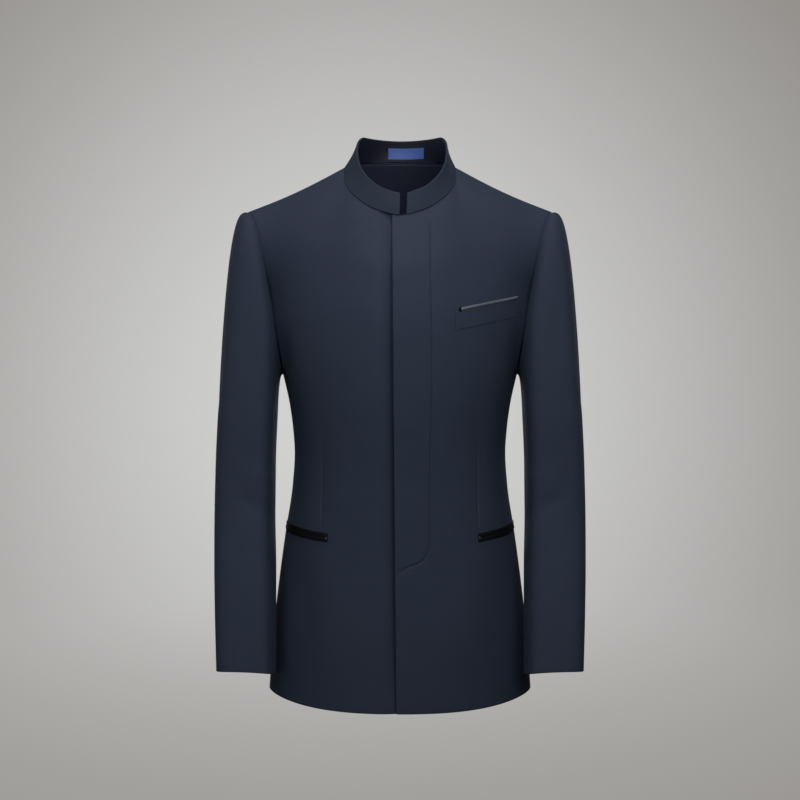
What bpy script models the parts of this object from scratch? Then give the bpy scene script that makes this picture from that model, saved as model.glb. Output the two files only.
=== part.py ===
# Stand collar jacket with a hidden-button fly, filled out as on an unseen figure.
# Metres, +Z up. +X is the wearer's left and -Y the front; the origin lies midway between the neck points.
import math

import bmesh
import bpy
import numpy as np

# Walls and seams
BODY_WALL = 0.0020
SLEEVE_WALL = 0.0016
COLLAR_WALL = 0.0030
LINING_WALL = 0.0010
LABEL_WALL = 0.0006
TRIM_WALL = 0.0014
SEAM_GAP = 0.0003
LINING_GAP = 0.0005
TRIM_LIFT = 0.0006

# Heights along the body
HEM_SIDE = -0.727
HEM_FRONT_DIP = 0.017
HEM_BACK_DIP = 0.006
HEM_ROUND = 2.5
UNDERARM = -0.290
NECK_FRONT = -0.075
NECK_BACK = 0.013

# Body sections from hem to underarm: an oval with its own front and back depth
SECTION_COLUMNS = ("height", "half_width", "front", "back")
SECTIONS = (
    (-0.745, 0.1838, 0.1330, 0.1290),
    (-0.640, 0.1760, 0.1285, 0.1305),
    (-0.578, 0.1690, 0.1240, 0.1270),
    (-0.511, 0.1600, 0.1190, 0.1170),
    (-0.444, 0.1500, 0.1165, 0.1060),
    (-0.400, 0.1472, 0.1180, 0.1030),
    (-0.360, 0.1500, 0.1225, 0.1050),
    (-0.326, 0.1553, 0.1280, 0.1105),
    (UNDERARM, 0.1635, 0.1330, 0.1170),
)
SQUARENESS = 0.03

# Depth of the centre front and centre back above the underarm, by share of the rise to the neck
CENTRE_COLUMNS = ("share", "depth")
CENTRE_FRONT = ((0.0, 0.1330), (0.28, 0.1365), (0.60, 0.1280), (0.84, 0.1070), (1.0, 0.0860))
CENTRE_BACK = ((0.0, 0.1170), (0.25, 0.1255), (0.50, 0.1240), (0.75, 0.1040), (0.90, 0.0800), (1.0, 0.0620))

# Neck seam and collar top edge, by turn round the neck from centre front to centre back
NECK_HALF_WIDTH = 0.078
NECK_CENTRE_Y = -0.012
NECK_HALF_DEPTH = 0.074
COLLAR_TOP_HALF_WIDTH = 0.0635
COLLAR_TOP_CENTRE_X = 0.003
COLLAR_TOP_CENTRE_Y = -0.0115
COLLAR_TOP_HALF_DEPTH = 0.0685
COLLAR_BOW = 0.0015
COLLAR_END = 0.0081
NECK_COLUMNS = ("turn", "seam_height", "top_height")
NECK = (
    (0.0, NECK_FRONT, -0.0437),
    (26.0, -0.0660, -0.0325),
    (45.0, -0.0525, -0.0205),
    (65.0, -0.0360, -0.0020),
    (90.0, -0.0130, 0.0245),
    (100.0, 0.0, 0.0355),
    (122.0, 0.0080, 0.0450),
    (180.0, NECK_BACK, 0.0437),
)
NECK_POINT_TURN = 100.0

# Shoulder and armhole
SHOULDER_TIP = (0.214, 0.005, -0.0628)
SHOULDER_SAG = 0.0038
ARMHOLE_FLARE = 1.6
ARMHOLE_FRONT = 0.051
ARMHOLE_BACK = 0.057
ARMHOLE_BACK_SPREAD = 0.006
SHOULDER_SHARE = 0.46
ROUND_RISE = 2.2
NECK_ROUND = 1.1
SHOULDER_ROUND = 1.8
ROUND_FROM = 0.38
ROUND_TO = 0.82
NECK_FAN = 0.65
CORNER_SOFTNESS = 0.24
ARMHOLE_REACH = 3.2

# Front edges: the left front laps over the right one
OVERLAP_COLUMNS = ("height", "edge")
OVERLAP_EDGE = ((-0.745, -0.0050), (-0.400, -0.0082), (NECK_FRONT, -0.0110))
LAP_PLACES = (0.040, 0.024)
LAP_RECESS = 0.0032
RECESS_START = 0.036
RECESS_FULL = 0.012

# Sleeve: rings below the armhole, and the roundness of the sleeve head
RING_COLUMNS = ("height", "outer", "inner", "centre_y", "half_depth")
RINGS = (
    (-0.699, 0.2500, 0.1690, -0.0720, 0.0460),
    (-0.612, 0.2540, 0.1703, -0.0510, 0.0505),
    (-0.553, 0.2560, 0.1712, -0.0360, 0.0535),
    (-0.477, 0.2572, 0.1735, -0.0170, 0.0580),
    (-0.418, 0.2565, 0.1735, -0.0080, 0.0620),
    (-0.330, 0.2530, 0.1705, -0.0020, 0.0660),
)
BICEPS = -0.330
CUFF = -0.6957
CUFF_SLOPE = 0.004
CUFF_FRONT_RISE = 0.006
HEAD_ROUND = 0.33
HEAD_SPACING = 1.9

# Chest welt on the left front: places are (x, z) on the front
WELT_LEFT = 0.0748
WELT_RIGHT = 0.1620
WELT_BOTTOM = -0.2325
WELT_HEIGHT = 0.0245
WELT_RISE = 0.0205
PIPING_LEFT = 0.0815
PIPING_HEIGHT = 0.0030

# Waist pocket jets: front and back ends as degrees round the body from the front
JET_FRONT_TURN = 45.5
JET_BACK_TURN = 86.5
JET_FRONT_HEIGHT = -0.5125
JET_BACK_HEIGHT = -0.5005
JET_SAG = 0.0012
JET_WIDTH = 0.0058

# Woven label inside the collar
LABEL_LEFT = -0.0170
LABEL_RIGHT = 0.0340
LABEL_BOTTOM = 0.0175
LABEL_TOP = 0.0330

# Lining that shows inside the back neck
LINING_ROWS = 5

# Mesh spacing
HEM_ROWS = 13
ARMHOLE_ROWS = 12
ROW_SPACING = 1.5
NECK_SPANS = 5
SHOULDER_SPANS = 8
HEAD_ROWS = 9
ARM_ROWS = 11
COLLAR_ROWS = 3
FRONT_SLEEVE_SEAM = 3
BACK_SLEEVE_SEAM = 20
WELT_SPANS = 12
JET_SPANS = 14
LABEL_SPANS = 6
SHARP_ANGLE = 50.0
SEARCH_STEPS = 40
MILLIMETRES = 1000.0

# Finishes: sRGB colour, roughness
FINISHES = {
    "wool": ((43, 50, 63), 0.85),
    "satin": ((14, 14, 19), 0.35),
    "piping": ((66, 71, 82), 0.40),
    "lining": ((24, 26, 38), 0.55),
    "label": ((66, 88, 150), 0.60),
}


def column(columns, rows, name):
    place = columns.index(name)
    return np.array([row[place] for row in rows])


def smooth(knots, values, at, level_ends=False):
    # Monotone cubic through a table's rows
    steps = np.diff(knots)
    slopes = np.diff(values) / steps
    tangents = np.zeros(len(knots))
    if not level_ends:
        tangents[0], tangents[-1] = slopes[0], slopes[-1]
    for i in range(1, len(knots) - 1):
        before, after = slopes[i - 1], slopes[i]
        if before * after > 0:
            tangents[i] = 2 * before * after / (before + after)
    k = int(np.clip(np.searchsorted(knots, at) - 1, 0, len(steps) - 1))
    t = float(np.clip((at - knots[k]) / steps[k], 0, 1))
    rise = values[k] * (2 * t**3 - 3 * t**2 + 1) + values[k + 1] * (3 * t**2 - 2 * t**3)
    return rise + steps[k] * (tangents[k] * (t**3 - 2 * t**2 + t) + tangents[k + 1] * (t**3 - t**2))


def section_size(name, height):
    heights = column(SECTION_COLUMNS, SECTIONS, "height")
    return smooth(heights, column(SECTION_COLUMNS, SECTIONS, name), height)


def ring_size(name, height):
    heights = column(RING_COLUMNS, RINGS, "height")
    return smooth(heights, column(RING_COLUMNS, RINGS, name), height)


def neck_height(name, turn):
    turns = column(NECK_COLUMNS, NECK, "turn")
    return smooth(turns, column(NECK_COLUMNS, NECK, name), turn, level_ends=True)


def neck_seam(turn):
    angle = math.radians(turn)
    x = NECK_HALF_WIDTH * math.sin(angle)
    y = NECK_CENTRE_Y - NECK_HALF_DEPTH * math.cos(angle)
    return np.array((x, y, neck_height("seam_height", turn)))


def collar_top(turn, side):
    angle = math.radians(turn)
    x = side * COLLAR_TOP_HALF_WIDTH * math.sin(angle) + COLLAR_TOP_CENTRE_X
    y = COLLAR_TOP_CENTRE_Y - COLLAR_TOP_HALF_DEPTH * math.cos(angle)
    return np.array((x, y, neck_height("top_height", turn)))


def shoulder_seam(share):
    start = neck_seam(NECK_POINT_TURN)
    point = start + (np.array(SHOULDER_TIP) - start) * share
    point[2] -= SHOULDER_SAG * math.sin(math.pi * share)
    return point


def armhole(face, share):
    # From the underarm at 0 to the shoulder tip at 1
    tip_x, tip_y, tip_z = SHOULDER_TIP
    low_x = section_size("half_width", UNDERARM)
    depth, spread = (-ARMHOLE_FRONT, 0.0) if face == "front" else (ARMHOLE_BACK, ARMHOLE_BACK_SPREAD)
    swing = math.sin(math.pi * share)
    x = low_x + (tip_x - low_x) * share**ARMHOLE_FLARE + spread * swing
    y = tip_y * share + depth * swing
    z = (tip_z + UNDERARM) / 2 - (tip_z - UNDERARM) / 2 * math.cos(math.pi * share)
    return np.array((x, y, z))


def neck_turn(face, share):
    # Turn round the neck for a share of the quarter girth on the front or the back
    along = share / SHOULDER_SHARE
    if face == "front":
        return NECK_POINT_TURN * along
    return 180.0 - (180.0 - NECK_POINT_TURN) * along


def top_edge(face, share):
    if share < SHOULDER_SHARE:
        return neck_seam(neck_turn(face, share))
    return shoulder_seam((share - SHOULDER_SHARE) / (1 - SHOULDER_SHARE))


def softened_top(face, share, rise):
    # The neck point's corner fades out below the seam
    reach = CORNER_SOFTNESS * math.sqrt(1 - rise) * math.sin(math.pi * share)
    steps = (-1.0, -0.75, -0.5, -0.25, 0.0, 0.25, 0.5, 0.75, 1.0)
    near = [top_edge(face, min(max(share + reach * step, 0.0), 1.0)) for step in steps]
    return sum(near) / len(near)


def oval(face, share, height):
    angle = share * math.pi / 2
    out = -1.0 if face == "front" else 1.0
    x = (math.sin(angle) + SQUARENESS * math.sin(3 * angle)) / (1 - SQUARENESS)
    y = (math.cos(angle) - SQUARENESS * math.cos(3 * angle)) / (1 - SQUARENESS)
    return np.array((x * section_size("half_width", height), out * y * section_size(face, height), height))


def skirt_point(face, share, rise):
    dip = HEM_FRONT_DIP if face == "front" else HEM_BACK_DIP
    hem = HEM_SIDE - dip * (1 - math.sin(share * math.pi / 2) ** HEM_ROUND)
    return oval(face, share, hem + (UNDERARM - hem) * rise)


def chest_point(face, share, rise):
    # Patch between the centre line, the armhole, the chest section, and the neck and shoulder seams
    table, neck, out = (CENTRE_FRONT, NECK_FRONT, -1.0) if face == "front" else (CENTRE_BACK, NECK_BACK, 1.0)
    shares = column(CENTRE_COLUMNS, table, "share")
    depth = smooth(shares, column(CENTRE_COLUMNS, table, "depth"), rise)
    centre = np.array((0.0, out * depth, UNDERARM + (neck - UNDERARM) * rise))
    ridge = float(np.clip((share - ROUND_FROM) / (ROUND_TO - ROUND_FROM), 0, 1))
    roundness = NECK_ROUND + (SHOULDER_ROUND - NECK_ROUND) * ridge**2 * (3 - 2 * ridge)
    rounded = 1 - (1 - rise**ROUND_RISE) ** (1 / roundness)
    up = np.array((1 - (1 - rise) ** NECK_FAN, rounded, rise))
    across = share**ARMHOLE_REACH
    bottom = oval(face, share, UNDERARM)
    top = softened_top(face, share, rise)
    inner_corners = oval(face, 0.0, UNDERARM) * (1 - up) + top_edge(face, 0.0) * up
    outer_corners = oval(face, 1.0, UNDERARM) * (1 - up) + top_edge(face, 1.0) * up
    sides = centre * (1 - across) + armhole(face, rise) * across
    corners = inner_corners * (1 - across) + outer_corners * across
    return sides + bottom * (1 - up) + top * up - corners


def body_point(face, share, level):
    # Level 0 is the hem, 1 the underarm, 2 the neck and shoulder; a share below 0 lies past the centre
    if level <= 1:
        point = skirt_point(face, abs(share), level)
    else:
        point = chest_point(face, abs(share), level - 1)
    point[0] *= -1 if share < 0 else 1
    return point


def share_at(level, x):
    # Share of the quarter girth where the front passes x
    low, high = -0.5, 0.6
    for _ in range(SEARCH_STEPS):
        middle = (low + high) / 2
        if body_point("front", middle, level)[0] < x:
            low = middle
        else:
            high = middle
    return (low + high) / 2


def levels():
    below = [i / HEM_ROWS for i in range(HEM_ROWS)]
    above = [2 - (1 - i / ARMHOLE_ROWS) ** ROW_SPACING for i in range(ARMHOLE_ROWS + 1)]
    return below + above


def spread(start, end, spans):
    return [start + (end - start) * i / spans for i in range(1, spans + 1)]


def lap_shares(level, first_places):
    # Columns of a front: named places near the centre, then even steps to the neck point and the armhole
    near = [share_at(level, x) for x in first_places]
    return near + spread(near[-1], SHOULDER_SHARE, NECK_SPANS) + spread(SHOULDER_SHARE, 1.0, SHOULDER_SPANS)


def over_edge(level):
    height = body_point("front", 0.0, level)[2]
    heights = column(OVERLAP_COLUMNS, OVERLAP_EDGE, "height")
    return smooth(heights, column(OVERLAP_COLUMNS, OVERLAP_EDGE, "edge"), height)


def over_front_grid():
    rows = []
    for level in levels():
        shares = lap_shares(level, (over_edge(level), 0.0, COLLAR_END, *LAP_PLACES[::-1]))
        rows.append([body_point("front", share, level) for share in shares])
    return np.array(rows)


def under_front_grid():
    # Drawn as a left front; its lapped strip lies lower, under the other front
    rows = []
    for level in levels():
        lapped = [-x for x in (*LAP_PLACES, COLLAR_END)]
        shares = lap_shares(level, (*lapped, 0.0, RECESS_FULL, RECESS_START))
        rows.append([body_point("front", share, level) for share in shares])
    grid = np.array(rows)
    step = np.clip((RECESS_START - grid[..., 0]) / (RECESS_START - RECESS_FULL), 0, 1)
    grid[..., 1] += LAP_RECESS * step**2 * (3 - 2 * step)
    return grid


def back_grid():
    shares = [0.0] + spread(0.0, SHOULDER_SHARE, NECK_SPANS) + spread(SHOULDER_SHARE, 1.0, SHOULDER_SPANS)
    return np.array([[body_point("back", share, level) for share in shares] for level in levels()])


def sleeve_ring(turn, height):
    # Turn 180 faces the body, 90 the front, 0 outward and -90 the back
    angle = math.radians(turn)
    outer, inner = ring_size("outer", height), ring_size("inner", height)
    x = (outer + inner) / 2 + (outer - inner) / 2 * math.cos(angle)
    y = ring_size("centre_y", height) - ring_size("half_depth", height) * math.sin(angle)
    return np.array((x, y, height))


def sleeve_grid():
    # Columns run from the underarm round the front, over the top and down the back to the underarm
    rises = [level - 1 for level in levels() if level >= 1]
    seam = [armhole("front", rise) for rise in rises] + [armhole("back", rise) for rise in rises[-2::-1]]
    turns = [180.0 - 180.0 * i / ARMHOLE_ROWS for i in range(2 * ARMHOLE_ROWS + 1)]
    rows = []
    for i in range(HEAD_ROWS + 1):
        fall = (i / HEAD_ROWS) ** HEAD_SPACING
        out = fall**HEAD_ROUND
        row = []
        for start, turn in zip(seam, turns):
            end = sleeve_ring(turn, BICEPS)
            start = start + np.array((SEAM_GAP, 0.0, 0.0))
            row.append(start + (end - start) * np.array((out, out, fall)))
        rows.append(row)
    for i in range(1, ARM_ROWS + 1):
        row = []
        for turn in turns:
            angle = math.radians(turn)
            cuff = CUFF - CUFF_SLOPE * (1 - math.cos(angle)) / 2 + CUFF_FRONT_RISE * math.sin(angle)
            row.append(sleeve_ring(turn, BICEPS + (cuff - BICEPS) * i / ARM_ROWS))
        rows.append(row)
    return np.array(rows)


def collar_turns():
    # From the left collar end round the back to the right collar end: turn and side
    left_front = lap_shares(2.0, (COLLAR_END, *LAP_PLACES[::-1]))[:-SHOULDER_SPANS]
    right_front = lap_shares(2.0, (0.0, RECESS_FULL, RECESS_START))[:-SHOULDER_SPANS]
    half_back = spread(SHOULDER_SHARE, 0.0, NECK_SPANS)
    left = [neck_turn("front", share) for share in left_front] + [neck_turn("back", s) for s in half_back]
    right = [neck_turn("front", share) for share in right_front] + [neck_turn("back", s) for s in half_back]
    return [(turn, 1.0) for turn in left] + [(turn, -1.0) for turn in right[-2::-1]]


def collar_grid():
    rows = []
    for i in range(COLLAR_ROWS + 1):
        rise = i / COLLAR_ROWS
        bow = COLLAR_BOW * math.sin(math.pi * rise)
        row = []
        for turn, side in collar_turns():
            low = neck_seam(turn) * np.array((side, 1.0, 1.0)) + np.array((0.0, 0.0, SEAM_GAP))
            high = collar_top(turn, side)
            outward = np.array((side * math.sin(math.radians(turn)), -math.cos(math.radians(turn)), 0.0))
            row.append(low + (high - low) * rise + outward * bow)
        rows.append(row)
    return np.array(rows)


def unit(vectors):
    return vectors / np.linalg.norm(vectors, axis=-1, keepdims=True)


def grid_normals(points, flip):
    normals = np.cross(np.gradient(points, axis=1), np.gradient(points, axis=0))
    return unit(-normals if flip else normals)


def mirrored(points):
    return points[:, ::-1] * np.array((-1.0, 1.0, 1.0))


class Panel:
    # One cut piece: a grid of points on its outer face, with the normals that its wall follows

    def __init__(self, points, wall, flip=False):
        self.points = points
        self.wall = wall
        self.normals = grid_normals(points, flip)

    def set_armhole_rim(self, edge):
        # At the armhole the wall's edge faces the middle of the arm opening
        away = self.points[edge] - np.array((0.0, 0.0, (SHOULDER_TIP[2] + UNDERARM) / 2))
        away[..., 0] = 0.0
        self.normals[edge] = unit(away)

    def set_neck_rim(self, edge):
        # At the neck seam the wall's edge is level
        away = self.points[edge] - np.array((0.0, NECK_CENTRE_Y, 0.0))
        away[..., 2] = 0.0
        self.normals[edge] = unit(away)

    def pull(self, edge, inward):
        # Draw one edge back from its seam by half of the gap
        step = unit(self.points[inward] - self.points[edge])
        self.points[edge] = self.points[edge] + step * SEAM_GAP / 2

    def at(self, row, place):
        # Point and normal between grid points
        i = int(np.clip(math.floor(row), 0, self.points.shape[0] - 2))
        j = int(np.clip(math.floor(place), 0, self.points.shape[1] - 2))
        u, v = row - i, place - j
        weights = (
            (i, j, (1 - u) * (1 - v)),
            (i, j + 1, (1 - u) * v),
            (i + 1, j, u * (1 - v)),
            (i + 1, j + 1, u * v),
        )
        point = sum(self.points[a, b] * w for a, b, w in weights)
        normal = sum(self.normals[a, b] * w for a, b, w in weights)
        return point, unit(normal)

    def find(self, measure, target, start):
        # Grid place whose point measures as the target does
        row, place = start
        step = 0.01
        for _ in range(SEARCH_STEPS):
            here = measure(self.at(row, place)[0])
            up = (measure(self.at(row + step, place)[0]) - here) / step
            along = (measure(self.at(row, place + step)[0]) - here) / step
            move = np.linalg.solve(np.column_stack((up, along)), np.array(target) - here)
            row += float(np.clip(move[0], -1, 1))
            place += float(np.clip(move[1], -1, 1))
        return row, place


def front_view(point):
    return point[[0, 2]]


def turn_and_height(point):
    # Degrees round the body from the front, on either side, and height in millimetres
    return np.array((math.degrees(math.atan2(abs(point[0]), -point[1])), point[2] * MILLIMETRES))


def share_normals(panels):
    # Pieces that meet at a seam take one normal there, so their edges stay parallel
    meeting = {}
    for panel in panels:
        for place in np.ndindex(panel.points.shape[:2]):
            key = tuple(np.round(panel.points[place] * 1e6).astype(int))
            meeting.setdefault(key, []).append((panel, place))
    for members in meeting.values():
        normal = unit(sum(panel.normals[place] for panel, place in members))
        for panel, place in members:
            panel.normals[place] = normal


def finish(name):
    material = bpy.data.materials.new(name)
    material.use_nodes = True
    colour, roughness = FINISHES[name]
    linear = [((c / 255 + 0.055) / 1.055) ** 2.4 for c in colour]
    shader = material.node_tree.nodes["Principled BSDF"]
    shader.inputs["Base Color"].default_value = (*linear, 1.0)
    shader.inputs["Roughness"].default_value = roughness
    shader.inputs["Metallic"].default_value = 0.0
    material.diffuse_color = (*linear, 1.0)
    return material


def add_wall(name, outer, normals, wall, material):
    # Closed wall between a grid and the same grid moved in along its normals
    inner = outer - normals * wall
    rows, columns = outer.shape[:2]
    mesh = bpy.data.meshes.new(name)
    shape = bmesh.new()
    faces = [[[shape.verts.new(p) for p in row] for row in grid] for grid in (outer, inner)]
    for skin in faces:
        for i in range(rows - 1):
            for j in range(columns - 1):
                shape.faces.new((skin[i][j], skin[i][j + 1], skin[i + 1][j + 1], skin[i + 1][j]))
    rim = [(0, j) for j in range(columns)] + [(i, columns - 1) for i in range(1, rows)]
    rim += [(rows - 1, j) for j in range(columns - 2, -1, -1)] + [(i, 0) for i in range(rows - 2, 0, -1)]
    for (i, j), (k, m) in zip(rim, rim[1:] + rim[:1]):
        # Both sides of a seam are split along the same diagonal: from the lower outer corner
        if outer[i, j][2] > outer[k, m][2]:
            i, j, k, m = k, m, i, j
        shape.faces.new((faces[0][i][j], faces[0][k][m], faces[1][k][m]))
        shape.faces.new((faces[0][i][j], faces[1][k][m], faces[1][i][j]))
    bmesh.ops.recalc_face_normals(shape, faces=shape.faces)
    shape.to_mesh(mesh)
    shape.free()
    mesh.shade_smooth()
    mesh.set_sharp_from_angle(angle=math.radians(SHARP_ANGLE))
    mesh.materials.append(material)
    piece = bpy.data.objects.new(name, mesh)
    bpy.context.scene.collection.objects.link(piece)


def add_on_panel(name, panel, places, lift, wall, material):
    # A piece that lies on a panel: the panel's own points at these places, moved out
    found = [[panel.at(row, place) for row, place in line] for line in places]
    points = np.array([[point for point, _ in line] for line in found])
    normals = np.array([[normal for _, normal in line] for line in found])
    add_wall(name, points + normals * (lift + wall), normals, wall, material)


def strip_places(panel, measure, lines, start):
    # Grid places for lines of measured points
    places = []
    for line in lines:
        guess = start
        row = []
        for target in line:
            guess = panel.find(measure, target, guess)
            row.append(guess)
        places.append(row)
    return places


def add_chest_pocket(front, finishes):
    length = WELT_RIGHT - WELT_LEFT

    def welt_line(left, lift):
        xs = [left + (WELT_RIGHT - left) * i / WELT_SPANS for i in range(WELT_SPANS + 1)]
        return [(x, WELT_BOTTOM + lift + WELT_RISE * (x - WELT_LEFT) / length) for x in xs]

    start = (HEM_ROWS + 3.0, 6.0)
    welt = [welt_line(WELT_LEFT, WELT_HEIGHT * i / 2) for i in range(3)]
    piping_base = WELT_HEIGHT + SEAM_GAP
    piping = [welt_line(PIPING_LEFT, piping_base + PIPING_HEIGHT * i) for i in range(2)]
    welt_places = strip_places(front, front_view, welt, start)
    piping_places = strip_places(front, front_view, piping, start)
    add_on_panel("chest_welt", front, welt_places, TRIM_LIFT, TRIM_WALL, finishes["wool"])
    add_on_panel("chest_piping", front, piping_places, TRIM_LIFT, TRIM_WALL, finishes["piping"])


def add_waist_jets(side, front, finishes):
    middle = (front.points.shape[1] - 1) / 2
    start = (HEM_ROWS / 2, middle)
    for name, offset in (("upper", SEAM_GAP / 2), ("lower", -SEAM_GAP / 2 - JET_WIDTH)):
        lines = []
        for edge in (0, 1):
            line = []
            for i in range(JET_SPANS + 1):
                along = i / JET_SPANS
                centre = JET_FRONT_HEIGHT + (JET_BACK_HEIGHT - JET_FRONT_HEIGHT) * along
                centre -= JET_SAG * math.sin(math.pi * along)
                turn = JET_FRONT_TURN + (JET_BACK_TURN - JET_FRONT_TURN) * along
                line.append((turn, (centre + offset + JET_WIDTH * edge) * MILLIMETRES))
            lines.append(line)
        places = strip_places(front, turn_and_height, lines, start)
        add_on_panel(f"jet_{side}_{name}", front, places, TRIM_LIFT, TRIM_WALL, finishes["satin"])


def add_label(collar, finishes):
    # On the inner face of the collar at the back
    xs = [LABEL_RIGHT + (LABEL_LEFT - LABEL_RIGHT) * i / LABEL_SPANS for i in range(LABEL_SPANS + 1)]
    lines = [[(x, z) for x in xs] for z in (LABEL_BOTTOM, LABEL_TOP)]
    start = (1.0, (collar.points.shape[1] - 1) / 2)
    lift = -COLLAR_WALL - SEAM_GAP - LABEL_WALL
    places = strip_places(collar, front_view, lines, start)
    add_on_panel("neck_label", collar, places, lift, LABEL_WALL, finishes["label"])


def add_neck_lining(back_left, back_right, finishes):
    # Lies inside both backs below the neck seam
    last = back_left.points.shape[0] - 1
    rows = [last - LINING_ROWS + i for i in range(LINING_ROWS)]
    columns = NECK_SPANS + 1
    grids = []
    for field in ("points", "normals"):
        left = getattr(back_left, field)[rows, :columns]
        right = getattr(back_right, field)[rows, -columns:]
        grids.append(np.concatenate((right[:, :-1], left), axis=1))
    points, normals = grids
    points[:, columns - 1, 0] = 0.0
    depth = BODY_WALL + LINING_GAP
    add_wall("neck_lining", points - normals * depth, normals, LINING_WALL, finishes["lining"])


def main():
    for old in list(bpy.data.objects):
        bpy.data.objects.remove(old)
    finishes = {name: finish(name) for name in FINISHES}

    every = slice(None)
    above = slice(HEM_ROWS, None)
    below = slice(None, HEM_ROWS + 1)
    back, sleeve, collar = back_grid(), sleeve_grid(), collar_grid()
    sleeve_shapes = {
        "upper": sleeve[:, FRONT_SLEEVE_SEAM:BACK_SLEEVE_SEAM + 1],
        "under": np.concatenate((sleeve[:, BACK_SLEEVE_SEAM:-1], sleeve[:, :FRONT_SLEEVE_SEAM + 1]), axis=1),
    }
    panels = {
        "front_left": Panel(over_front_grid(), BODY_WALL),
        "front_right": Panel(mirrored(under_front_grid()), BODY_WALL),
        "back_left": Panel(back, BODY_WALL, flip=True),
        "back_right": Panel(mirrored(back), BODY_WALL, flip=True),
        "collar_stand": Panel(collar, COLLAR_WALL),
    }
    for name, shape in sleeve_shapes.items():
        panels[f"sleeve_left_{name}"] = Panel(shape.copy(), SLEEVE_WALL, flip=True)
        panels[f"sleeve_right_{name}"] = Panel(mirrored(shape), SLEEVE_WALL, flip=True)
    share_normals(panels.values())

    for face in ("front", "back"):
        for side in ("left", "right"):
            panel = panels[f"{face}_{side}"]
            last = panel.points.shape[1] - 1
            if side == "left":
                outer, inner, neck_point = last, last - 1, last - SHOULDER_SPANS
                neck, shoulder = slice(None, neck_point + 1), slice(neck_point, None)
            else:
                outer, inner, neck_point = 0, 1, SHOULDER_SPANS
                neck, shoulder = slice(neck_point, None), slice(None, neck_point + 1)
            panel.set_armhole_rim((above, outer))
            panel.set_neck_rim((-1, neck))
            panel.pull((below, outer), (below, inner))
            panel.pull((-1, shoulder), (-2, shoulder))
    panels["back_left"].pull((every, 0), (every, 1))
    panels["back_right"].pull((every, -1), (every, -2))
    panels["collar_stand"].set_neck_rim((0, every))
    for side in ("left", "right"):
        for name in sleeve_shapes:
            panel = panels[f"sleeve_{side}_{name}"]
            panel.set_armhole_rim((0, every))
            panel.pull((every, 0), (every, 1))
            panel.pull((every, -1), (every, -2))

    for name, panel in panels.items():
        add_wall(name, panel.points, panel.normals, panel.wall, finishes["wool"])
    add_chest_pocket(panels["front_left"], finishes)
    add_waist_jets("left", panels["front_left"], finishes)
    add_waist_jets("right", panels["front_right"], finishes)
    add_label(panels["collar_stand"], finishes)
    add_neck_lining(panels["back_left"], panels["back_right"], finishes)


main()
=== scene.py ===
# Stand collar jacket in navy worsted, filled out as when worn.
# Metres, +Z up, -Y is the front and +X the wearer's left.
import math

import bmesh
import bpy
import numpy as np
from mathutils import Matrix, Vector
from mathutils.bvhtree import BVHTree


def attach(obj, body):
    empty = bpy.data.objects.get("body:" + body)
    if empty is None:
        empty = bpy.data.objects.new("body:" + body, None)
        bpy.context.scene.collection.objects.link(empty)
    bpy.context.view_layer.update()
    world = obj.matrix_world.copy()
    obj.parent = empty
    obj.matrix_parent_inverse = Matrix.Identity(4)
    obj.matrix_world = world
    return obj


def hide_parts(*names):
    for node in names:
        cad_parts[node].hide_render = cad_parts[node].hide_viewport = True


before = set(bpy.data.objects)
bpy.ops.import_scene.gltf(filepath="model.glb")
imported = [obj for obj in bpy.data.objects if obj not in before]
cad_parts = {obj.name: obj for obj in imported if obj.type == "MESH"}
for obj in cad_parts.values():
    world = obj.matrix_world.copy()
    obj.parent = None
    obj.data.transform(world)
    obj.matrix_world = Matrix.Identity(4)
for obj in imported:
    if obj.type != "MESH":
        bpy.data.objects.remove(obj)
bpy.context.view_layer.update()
print("frame loaded with", len(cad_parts), "nodes")

# Camera first, then the form

cameraSet = {"place": (0.0, -2.80, -0.326), "lens": 90.0, "sensor": 36.0}


def addObject(name, data, location=(0, 0, 0)):
    item = bpy.data.objects.new(name, data)
    item.location = location
    bpy.context.scene.collection.objects.link(item)
    return item


def addCamera(settings):
    data = bpy.data.cameras.new("photoCamera")
    data.lens = settings["lens"]
    data.sensor_width = settings["sensor"]
    camera = addObject("photoCamera", data, settings["place"])
    camera.rotation_euler = (math.radians(90), 0, 0)
    bpy.context.scene.camera = camera


addCamera(cameraSet)

body = {
    "hemSide": -0.727,
    "hemDip": {"front": 0.0186, "back": 0.006},
    "hemRound": 2.8,
    "underarm": -0.290,
    "squareness": 0.010,
    "height": (-0.745, -0.640, -0.578, -0.511, -0.444, -0.400, -0.360, -0.326, -0.290),
    "halfWidth": (0.1838, 0.1760, 0.1690, 0.1600, 0.1500, 0.1472, 0.1500, 0.1553, 0.1635),
    "front": (0.1330, 0.1290, 0.1252, 0.1212, 0.1205, 0.1230, 0.1270, 0.1305, 0.1330),
    "back": (0.1290, 0.1305, 0.1270, 0.1170, 0.1060, 0.1030, 0.1050, 0.1105, 0.1170),
    "centreShare": {"front": (0.0, 0.28, 0.60, 0.84, 1.0), "back": (0.0, 0.25, 0.50, 0.75, 0.90, 1.0)},
    "centreDepth": {
        "front": (0.1330, 0.1355, 0.1275, 0.1070, 0.0860),
        "back": (0.1170, 0.1255, 0.1240, 0.1040, 0.0800, 0.0620),
    },
    "wall": 0.0020,
    "middle": (0.0, 0.0, -0.35),  # outward is away from here
}
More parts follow.
